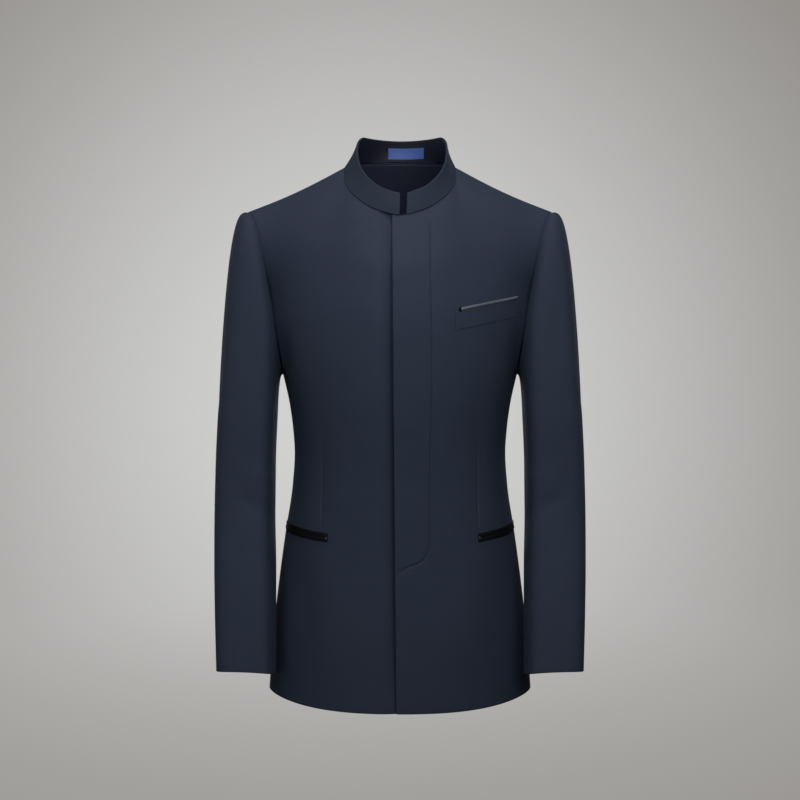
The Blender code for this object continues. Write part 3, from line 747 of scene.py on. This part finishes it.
def makeFront(name, side):  # the right front lies under the left one
    under = side < 0
    levels = rowLevels(*fronts["rows"])
    ones = np.ones_like(levels)
    edge = lapEdge(bodyPoint("front", 0 * levels, levels)[:, 2])
    if under:
        lines = (lap["underReach"] * ones, -edge, lap["recessReach"] - edge, fronts["dartLine"] * ones)
        columns, close = fronts["underColumns"], (0, 1, 0, 1, 1)
    else:
        lines = (edge, fronts["flyLine"] * ones, fronts["dartLine"] * ones)
        columns, close = fronts["columns"], (0, 1, 1, 1)
    shares = columnShares([shareAt(levels, x) for x in lines] + [ones], columns, close)
    points = bodyPanel("front", shares, levels, frontFolds if under else frontFolds + [flyFold])
    if under:  # the lapped strip lies lower
        points[..., 1] += lapRecess(points)
    points = sewShut(points, -1)
    uv = clothUv(points)
    lined = linedPast(points[..., 0] - fronts["facing"]) * linedPast(uv[..., 1] - fronts["hemTurn"])
    rim = {**evenRim(fronts["edgeRound"]), "right": fronts["seamRound"], "high": topRound(shares)}
    return makePanel(name, side, points, panelNormals(points, levels, shares), body["wall"], rim, uv, lined)


def makeBack(name, side):
    levels = rowLevels(*fronts["rows"])
    shares = np.linspace(0, 1, backs["columns"] + 1) * np.ones_like(levels)[:, None]
    points = sewShut(bodyPanel("back", shares, levels, backFolds), 0, -1)
    normals = panelNormals(points, levels, shares)
    normals[:, 0, 0] = 0  # both halves meet flat at the centre back
    uv = clothUv(points)
    rim = {**evenRim(fronts["seamRound"]), "low": fronts["edgeRound"], "high": topRound(shares)}
    lined = linedPast(uv[..., 1] - backs["hemTurn"])
    return makePanel(name, side, points, unit(normals), body["wall"], rim, uv, lined)


frontLeft, frontRight = makeFront("clothFrontLeft", 1), makeFront("clothFrontRight", -1)
backLeft, backRight = makeBack("clothBackLeft", 1), makeBack("clothBackRight", -1)

# Sleeves

sleeve = {
    "height": (-0.699, -0.612, -0.553, -0.477, -0.418, -0.330),
    "outer": (0.2500, 0.2540, 0.2560, 0.2572, 0.2565, 0.2530),
    "inner": (0.1690, 0.1703, 0.1712, 0.1735, 0.1735, 0.1705),
    "centreY": (-0.0720, -0.0510, -0.0360, -0.0170, -0.0080, -0.0020),
    "halfDepth": (0.0460, 0.0505, 0.0535, 0.0580, 0.0620, 0.0660),
    "biceps": -0.330, "cuff": -0.6957, "cuffSlope": 0.004, "cuffFrontRise": 0.006, "headRound": 0.33,
    "headSpacing": 1.9, "headCrowd": 1.25, "easing": 30, "easeReach": 0.045, "armX": 0.212, "flatFront": 0.085,
    "seamRound": 0.0002, "cuffRound": 0.0008, "rows": (46, 96),
    "places": 24,  # round the arm, from the underarm over the front
    "seams": (3.0, 20.0), "columns": {"upper": 84, "under": 40}, "seamHide": 0.015, "cuffTurn": 0.040,
    "wall": 0.0016,
    "sheet": {"upper": ((0.225, 0.660), 0.1360), "under": ((0.110, 0.480), 0.0462)},
}
sleeveFolds = [  # start and end are degrees round the arm and z
    fold((75, -0.455), (165, -0.490), 0.012, -0.0018),
    fold((85, -0.425), (160, -0.437), 0.010, 0.0010),
    fold((100, -0.520), (170, -0.560), 0.011, -0.0012),
    fold((-60, -0.440), (-150, -0.470), 0.014, -0.0015),
    fold((-40, -0.200), (-55, -0.380), 0.016, -0.0020),
    fold((38, -0.150), (30, -0.330), 0.018, -0.0016),
]


def sleeveSize(name, height):
    return curve(sleeve["height"], sleeve[name], height)


def sleeveRing(turn, height):  # turn 180 faces the body, 90 the front, 0 outward
    angle = np.radians(turn)
    deep, across = squared(angle, sleeve["flatFront"] * (1 + np.sin(angle)) / 2)
    outer, inner = sleeveSize("outer", height), sleeveSize("inner", height)
    x = (outer + inner) / 2 + (outer - inner) / 2 * across
    return stack(x, sleeveSize("centreY", height) - sleeveSize("halfDepth", height) * deep, height)


def atFront(place):
    return np.mod(place, sleeve["places"]) <= sleeve["places"] / 2


def sleeveSeam(place):  # armhole point for a place round the arm
    half = sleeve["places"] / 2
    place = np.mod(place, sleeve["places"])
    near = np.minimum(place, sleeve["places"] - place)
    rise = 1 - (1 - near / half) ** rowCrowd["top"]
    return np.where(atFront(place)[..., None], armhole("front", rise), armhole("back", rise))


def sleeveSurface(places):
    turns = 180.0 - 360 / sleeve["places"] * places
    start = sleeveSeam(places) - np.array((fronts["seamPress"], 0.0, 0.0))
    end = sleeveRing(turns, np.full_like(turns, sleeve["biceps"]))
    headRows, armRows = sleeve["rows"]
    rows = []
    for i in range(headRows):
        share = (i / headRows) ** sleeve["headCrowd"]
        fall = share ** sleeve["headSpacing"]
        out = fall ** sleeve["headRound"]
        rows.append(blend(start, end, np.array((out, out, fall))))
    angle = np.radians(turns)
    cuff = sleeve["cuff"] - sleeve["cuffSlope"] * (1 - np.cos(angle)) / 2 + sleeve["cuffFrontRise"] * np.sin(angle)
    for i in range(armRows + 1):
        rows.append(sleeveRing(turns, blend(sleeve["biceps"], cuff, i / armRows)))
    grid = np.array(rows)
    near = bell(grid[..., 2:3] - sleeve["biceps"], sleeve["easeReach"])
    return easeRows(grid, near, sleeve["easing"])  # a soft change from sleeve head to arm


def makeSleeve(name, side, half):
    first, second = sleeve["seams"]
    start, end = (first, second) if half == "upper" else (second, first + sleeve["places"])
    places = np.linspace(start, end, sleeve["columns"][half] + 1)
    hidden = start + sleeve["seamHide"] if half == "upper" else end - sleeve["seamHide"]
    places = np.sort(np.append(places, hidden))  # a close column keeps the front seam smooth
    points = sleeveSurface(places)
    armY = sleeveSize("centreY", np.minimum(points[..., 2].mean(axis=1), sleeve["biceps"]))
    arm = stack(sleeve["armX"], armY, points[:, 0, 2])[:, None]
    points = points + surfaceNormals(points, arm) * foldPush(points, sleeveFolds, sleeveRing)[..., None]
    apart = lengths(points, 0)
    sunk = [sinkSeam(points, points[:1], apart, "sleeve", face) for face in ("front", "back")]
    points = np.where(atFront(places)[None, :, None], *sunk)
    normals = surfaceNormals(points, arm)
    normals[0] = armholeRim(points[0])
    points = sewShut(points, 0, -1)
    uv = clothUv(points)
    lined = linedPast(uv[-1, 0, 1] - sleeve["cuffTurn"] - uv[..., 1])
    rim = {**evenRim(sleeve["seamRound"]), "low": fronts["seamRound"], "high": sleeve["cuffRound"]}
    return makePanel(name, side, points, normals, sleeve["wall"], rim, uv, lined)


sleeves = {}
for sideName, side in (("Left", 1), ("Right", -1)):
    for half in ("upper", "under"):
        sleeves[sideName, half] = makeSleeve(f"clothSleeve{sideName}{half.title()}", side, half)

# Collar and neck lining

collar = {
    "rows": 22, "columns": 220, "edgeRound": 0.0014, "endRound": 0.0012, "proud": 0.0018, "sideProud": 0.0008,
    "endLean": 2.4,  # degrees that the top of the right end stands back, so the slit stays even
    "leanFrom": 300.0, "sheet": ((0.475, 0.042), 0.0161),
}


def makeCollar():
    startTurn = math.degrees(math.asin(neck["leftEnd"] / neck["seam"]["half"][0]))
    run = np.linspace(startTurn, 360.0, collar["columns"] + 1)
    turn, side = np.minimum(run, 360 - run), np.where(run <= 180, 1.0, -1.0)
    low = neckRing("seam", turn, side) - np.array((0, 0, fronts["seamPress"]))
    lean = collar["endLean"] * ease(run, collar["leanFrom"], 360)
    high = neckRing("top", turn + lean, side)
    angle = np.radians(turn)
    out = stack(side * np.sin(angle), -np.cos(angle), 0)
    rise = np.linspace(0, 1, collar["rows"] + 1)[:, None, None]
    atSide = (np.sin(angle) ** 2)[None, :, None]
    proud = blend(collar["proud"], collar["sideProud"], atSide) * (1 - rise) ** 2
    bow = blend(neck["bow"], neck["sideBow"], atSide)
    points = blend(low, high, rise) + out * (bow * np.sin(np.pi * rise) + proud)
    normals = surfaceNormals(points, (*neck["seam"]["centre"], 0.0))
    normals[0] = neckRim(points[0])
    rim = {**evenRim(collar["endRound"]), "low": fronts["neckRound"], "high": collar["edgeRound"]}
    wall = neck["wall"] + proud[..., 0]
    return clothShell("clothCollar", points, normals, wall, rim, "collarShadedWool", lined=np.ones(wall.shape))


collarPiece = makeCollar()

neckLining = {
    "depth": 0.0025, "wall": 0.0010, "edgeRound": 0.0004, "rows": 26, "columns": 70, "lowLevel": 1.731,
    "highLevel": 1.996, "sheet": ((0.210, 0.100), 0.0192),
}


def makeNeckLining():
    across = np.linspace(-shoulder["share"], shoulder["share"], neckLining["columns"] + 1)
    levels = np.linspace(neckLining["lowLevel"], neckLining["highLevel"], neckLining["rows"] + 1)
    base = bodyPoint("back", across[None, :], levels[:, None])
    normals = surfaceNormals(base, body["middle"])
    points = base - normals * neckLining["depth"]
    rim = evenRim(neckLining["edgeRound"])
    return clothShell("clothNeckLining", points, normals, neckLining["wall"], rim, "lining")


liningPiece = makeNeckLining()
print("main cloth made")

# Pockets, label and sewing lie on the cloth that is already made

laid = {"reach": 0.02, "edgeRound": 0.0003, "stripEdge": 0.30, "stripReach": 0.98}  # shared by the pieces laid on


def clothTree(piece):
    return BVHTree.FromPolygons([v.co for v in piece.data.vertices], [list(f.vertices) for f in piece.data.polygons])


def settle(tree, base, normals):  # from a point of the form to the cloth's own surface
    points = base.copy()
    for place in np.ndindex(base.shape[:-1]):
        start = Vector(base[place] + normals[place] * laid["reach"])
        hit = tree.ray_cast(start, Vector(-normals[place]), 2 * laid["reach"])[0]
        if hit is not None:
            points[place] = hit
    return points


def onFront(tree, x, z):
    base, normals = bodyFrame("front", *bodyAt("front", x, z))
    return settle(tree, base, normals), normals


def strip(name, points, normals, lift, height, finish, rim=laid["edgeRound"]):
    outer = points + normals * np.asarray(lift + height)[..., None]
    return clothShell(name, outer, normals, height, evenRim(rim), finish)


def crowned(across):  # height of a folded strip over its width
    return blend(laid["stripEdge"], 1, np.sqrt(1 - (laid["stripReach"] * (2 * across - 1)) ** 2))


def stripGrid(start, end, columns, rows):  # places along the strip and shares across it
    return np.linspace(start, end, columns)[None, :], np.linspace(0, 1, rows)[:, None]


chestPocket = {
    "left": 0.0748, "right": 0.1620, "bottom": -0.2325, "height": 0.0245, "rise": 0.0205,
    "weltLift": 0.0002, "weltHeight": 0.0004, "weltRound": 0.0004, "weltGrid": (61, 13), "pipingGrid": (61, 11),
    "pipingLeft": 0.0815, "pipingHeight": 0.0038, "pipingProud": 0.0022, "pipingGap": 0.0003,
    "stitchIn": 0.001, "stitchRows": (-0.0011, 0.0016), "stitchAside": 0.0008, "stitchSamples": (80, 24),
    "weltSheet": ((0.090, 0.0250), None), "pipingSheet": ((0.084, 0.0100), 0.00042),
}


def pocketLine(x, lift):
    p = chestPocket
    return p["bottom"] + lift + p["rise"] * (x - p["left"]) / (p["right"] - p["left"])


def makeChestPocket(tree):
    p = chestPocket
    x, across = stripGrid(p["left"], p["right"], *p["weltGrid"])
    place = onFront(tree, x, pocketLine(x, p["height"] * across))
    welt = strip("clothChestWelt", *place, p["weltLift"], p["weltHeight"], "wool", p["weltRound"])
    x, across = stripGrid(p["pipingLeft"], p["right"], *p["pipingGrid"])
    place = onFront(tree, x, pocketLine(x, p["height"] + p["pipingGap"] + p["pipingHeight"] * across))
    return welt, strip("satinChestPiping", *place, p["weltLift"], p["pipingProud"] * crowned(across), "piping")


jets = {
    "frontTurn": {1: 48.2, -1: 44.5}, "backTurn": 86.5,  # degrees round from the front on each side
    "frontHeight": -0.5125, "backHeight": -0.4988, "sag": 0.0004,
    "width": 0.0058, "gap": 0.0003, "lift": 0.0003, "proud": 0.0009, "grid": (71, 13),
    "sheet": ((0.101, 0.0200), 0.00075),
}


def shareAtTurn(turn, height):  # where the front lies at this turn round the body
    def isShort(share):
        point = oval("front", share, height)
        return np.degrees(np.arctan2(point[..., 0], -point[..., 1])) < turn

    return halve(np.zeros_like(height), np.ones_like(height), isShort)


def onJet(tree, side, along, lift):
    turn = blend(jets["frontTurn"][side], jets["backTurn"], along)
    centre = blend(jets["frontHeight"], jets["backHeight"], along)
    height = centre - jets["sag"] * np.sin(np.pi * along) + lift
    share = shareAtTurn(turn, height)
    hem = hemHeight("front", share)
    base, normals = bodyFrame("front", share, (height - hem) / (body["underarm"] - hem))
    base, normals = onSide(side, base, normals)
    return settle(tree, base, normals), normals


def makeJet(name, tree, side, upper):
    along, across = stripGrid(0, 1, *jets["grid"])
    low = jets["gap"] / 2 if upper else -jets["gap"] / 2 - jets["width"]
    place = onJet(tree, side, along, low + jets["width"] * across)
    return strip(name, *place, jets["lift"], jets["proud"] * crowned(across), "satin")


label = {
    "left": -0.0170, "right": 0.0340, "bottom": 0.0175, "top": 0.0330, "grid": (31, 13), "edgeRound": 0.0002,
    "from": -0.02, "behind": (0.0, 0.5, 0.02),  # laid from inside the neck against the collar behind it
    "lift": 0.0004, "wall": 0.0006, "sheet": ((0.052, 0.0200), 0.00082),
}


def makeLabel(tree):
    x, across = stripGrid(label["left"], label["right"], *label["grid"])
    x, z = np.broadcast_arrays(x, blend(label["bottom"], label["top"], across))
    points = np.zeros(x.shape + (3,))
    for place in np.ndindex(x.shape):
        points[place] = tree.ray_cast(Vector((x[place], label["from"], z[place])), Vector((0, 1, 0)))[0]
    normals = surfaceNormals(points, label["behind"])
    return strip("wovenNeckLabel", points, normals, label["lift"], label["wall"], "label", label["edgeRound"])


stitch = {"sides": 6, "rings": 5, "arch": 1.1, "sunk": 0.45, "tip": 0.45, "ply": 0.0002}


def sewLines(name, runs, sewing, finish):  # single stitches along lines on the cloth
    sides, rings = stitch["sides"], stitch["rings"]
    ring, share = np.arange(sides), np.linspace(0, 1, rings)
    turn = (2 * np.pi * ring / sides)[:, None]
    bow = np.sin(np.pi * share)[:, None]
    size = sewing["radius"] * blend(stitch["tip"], 1, bow)[..., None]
    rise = sewing["radius"] * (stitch["arch"] * bow - stitch["sunk"])
    tubes, marks = [], []
    for line, out in runs:
        steps = lengths(line, 0)
        count = max(1, int(steps[-1] / sewing["pitch"]))
        at = steps[-1] / count * (np.arange(count)[:, None] + 0.5 + sewing["fill"] * (share - 0.5))
        centre, up = (np.stack([np.interp(at, steps, a) for a in row.T], axis=-1) for row in (line, out))
        up = unit(up)
        aside = unit(np.cross(unit(np.gradient(centre, axis=1)), up))
        around = aside[:, :, None] * np.cos(turn) + up[:, :, None] * np.sin(turn)
        tubes.append((centre + up * rise)[:, :, None] + size * around)
        marks.append(np.stack(np.broadcast_arrays(ring * stitch["ply"], at[..., None]), axis=-1))
    points, marks = np.concatenate(tubes).reshape(-1, 3), np.concatenate(marks).reshape(-1, 2)
    low = np.arange(len(points)).reshape(-1, rings, sides)
    after = np.roll(low, -1, axis=2)
    walls = np.stack((low[:, :-1], after[:, :-1], after[:, 1:], low[:, 1:]), axis=-1).reshape(-1, 4)
    ends = low[:, [0, -1]][..., [[0, 1, 2, 3], [0, 3, 4, 5]]].reshape(-1, 4)  # two quads close each end
    return addMesh(name, points, np.concatenate((walls, ends)), marks, np.zeros(len(points)), finish)


flySewing = {"pitch": 0.0027, "fill": 0.80, "radius": 0.00032, "samples": 400}
tackSewing = {
    "pitch": 0.0010, "fill": 0.95, "radius": 0.00060, "lift": 0.0018, "half": 0.0016, "along": 0.016, "samples": 12,
}
barSewing = {
    "pitch": 0.0008, "fill": 0.95, "radius": 0.00080, "lift": 0.0010, "samples": 12,
    "from": (-0.0022, -0.0010, 0.0002), "below": 0.0010, "above": 0.0014,
}
edgeSewing = {"pitch": 0.0022, "fill": 0.78, "radius": 0.00022}


def lifted(points, normals, lift):
    return points + normals * lift, normals


def makeFlyStitch(tree):
    line = onFront(tree, *flyPath(np.linspace(0, 1, flySewing["samples"]) ** 2))
    return sewLines("threadFlyLine", [line], flySewing, "thread")


def makePocketStitch(tree):
    p = chestPocket
    inside, (along, up) = p["stitchIn"], p["stitchSamples"]
    x = np.linspace(p["left"] + inside, p["right"] - inside, along)
    runs = [onFront(tree, x, pocketLine(x, lift)) for lift in p["stitchRows"]]
    z = np.linspace(inside, p["height"] - inside, up)
    runs.append(onFront(tree, p["left"] - p["stitchAside"], pocketLine(p["left"], z)))
    return sewLines("threadChestPocket", runs, edgeSewing, "thread")


def makePocketTacks(tree):
    p, bar = chestPocket, barSewing
    top = p["height"] + p["pipingHeight"] + bar["above"]
    lift = np.linspace(p["height"] - bar["below"], top, bar["samples"])
    places = [p["pipingLeft"] + apart for apart in bar["from"]]
    runs = [lifted(*onFront(tree, x, pocketLine(x, lift)), bar["lift"]) for x in places]
    # the tack's near-black thread is partly painted shade for the pocket opening's end
    return sewLines("threadChestTack", runs, bar, "nearBlackShadeThread")


def makeJetTack(name, tree, side):
    tack = tackSewing
    lift = np.linspace(-tack["half"], tack["half"], tack["samples"])
    line = lifted(*onJet(tree, side, tack["along"], lift), tack["lift"])
    return sewLines(name, [line], tack, "paleThread")


leftTree, rightTree, collarTree = clothTree(frontLeft), clothTree(frontRight), clothTree(collarPiece)
weltPiece, pipingPiece = makeChestPocket(leftTree)
jetPieces = {
    (sideName, part): makeJet(f"satinJet{sideName}{part.title()}", tree, side, part == "upper")
    for sideName, side, tree in (("Left", 1, leftTree), ("Right", -1, rightTree))
    for part in ("upper", "lower")
}
labelPiece = makeLabel(collarTree)
flyStitch, pocketStitch, pocketTack = makeFlyStitch(leftTree), makePocketStitch(leftTree), makePocketTacks(leftTree)
jetTacks = [makeJetTack("threadJetTackLeft", leftTree, 1), makeJetTack("threadJetTackRight", rightTree, -1)]
print("pockets, label and sewing made")

leftSewing = [flyStitch, pocketStitch, pocketTack, jetTacks[0]]
for piece, node, sewn in ((frontLeft, "front_left", leftSewing), (frontRight, "front_right", [jetTacks[1]])):
    declare(node)
for piece, node in ((backLeft, "back_left"), (backRight, "back_right")):
    declare(node)
for (sideName, half), piece in sleeves.items():
    declare(f"sleeve_{sideName.lower()}_{half}")
declare("collar_stand")
declare("neck_lining")
declare("chest_welt")
declare("chest_piping")
for (sideName, part), piece in jetPieces.items():
    node = f"jet_{sideName.lower()}_{part}"
    declare(node)
declare("neck_label")

# Studio

studio = {
    "floor": -1.02, "floorReach": 4.0, "wallBend": 0.9, "bendSteps": 16, "top": 4.0, "sides": 72,
    "paintedLitCentre": (0.665, 0.667, 0.657), "paintedDimFar": (0.256, 0.240, 0.225),  # painted light: colour of the glowing paper at its centre and far from it
    "centre": (-0.141, 6.0, -0.338), "stretch": (0.369, 0.116, 0.344),
    "air": (0.96, 0.98, 1.0), "ambient": 0.01,
    "aim": (0.0, 0.0, -0.33),
    "lamps": {  # place, size and watts
        "rightKey": ((0.9, -1.5, 0.35), 1.2, 7.4),
        "nearFront": ((0.0, -0.95, 0.15), 0.5, 3.9),
        "nearLeft": ((-0.6, -1.1, -0.20), 0.6, 0.9),
        "lowLeft": ((-1.0, -1.6, -1.0), 0.8, 7.6),
        "topLamp": ((0.0, -0.3, 1.8), 1.2, 24.0),
        "leftRim": ((-1.9, 0.3, 0.1), 0.9, 4.4),
        "rightRim": ((1.9, 0.3, 0.1), 0.9, 3.0),
        "backLamp": ((0.0, 2.4, 0.4), 1.2, 36.0),
        "backLeft": ((-1.5, 2.5, 0.2), 1.2, 4.0),
        "backRight": ((1.5, 2.5, 0.2), 1.2, 4.0),
    },
}


def makeBackdrop():  # a round floor of paper that bends up into a wall; it glows, with a painted pool of light at its centre fading to dim further out
    bend, sides = studio["wallBend"], studio["sides"]
    line = [
        (studio["floorReach"] + bend * math.sin(t), studio["floor"] + bend * (1 - math.cos(t)))
        for t in np.linspace(0, math.pi / 2, studio["bendSteps"])
    ]
    line.append((line[-1][0], studio["top"]))
    turns = np.linspace(0, 2 * math.pi, sides, endpoint=False)
    points = [(0.0, 0.0, studio["floor"])]
    points += [(r * math.sin(t), r * math.cos(t), z) for r, z in line for t in turns]
    ring = 1 + np.arange(len(line) * sides).reshape(-1, sides)
    after = np.roll(ring, -1, axis=1)
    faces = np.stack((0 * ring[0], ring[0], after[0]), axis=-1).tolist()
    faces += np.stack((ring[:-1], ring[1:], after[1:], after[:-1]), axis=-1).reshape(-1, 4).tolist()
    mesh = bpy.data.meshes.new("studioGlowingPaper")
    mesh.from_pydata(points, [], faces)
    mesh.shade_smooth()
    material, tree, shader = newMaterial("studioGlowingPaper")
    away = addNode(tree, "TexCoord", {}).outputs["Object"]
    for operation, by in (("SUBTRACT", "centre"), ("MULTIPLY", "stretch")):
        away = addNode(tree, "VectorMath", {0: away, 1: studio[by]}, operation=operation).outputs[0]
    apart = addNode(tree, "VectorMath", {0: away}, operation="LENGTH").outputs["Value"]
    fade = addNode(tree, "MapRange", {0: apart}, interpolation_type="SMOOTHSTEP").outputs[0]
    colour = mixColour(tree, fade, (*studio["paintedLitCentre"], 1), (*studio["paintedDimFar"], 1))
    # the paper glows with painted light instead of being lit by the lamps
    surface = {"Base Color": (0, 0, 0, 1), "Specular IOR Level": 0, "Emission Color": colour, "Emission Strength": 1.0}
    setInputs(tree, shader, surface)
    mesh.materials.append(material)
    paper = addObject("studioGlowingPaper", mesh)
    paper.visible_diffuse = paper.visible_glossy = False


def addLamp(name, place, size, watts):
    data = bpy.data.lights.new(name, "AREA")
    data.shape = "DISK"
    data.size = size
    data.energy = watts
    lamp = addObject(name, data, place)
    lamp.rotation_euler = (Vector(studio["aim"]) - lamp.location).to_track_quat("-Z", "Y").to_euler()
    lamp.visible_camera = False


makeBackdrop()
for name, lamp in studio["lamps"].items():
    addLamp(name, *lamp)
world = bpy.data.worlds.new("studioAir")
world.use_nodes = True
air = world.node_tree
setInputs(air, air.nodes["Background"], {"Color": (*studio["air"], 1), "Strength": studio["ambient"]})
bpy.context.scene.world = world
bpy.context.scene.view_settings.view_transform = "Standard"
print("studio ready")
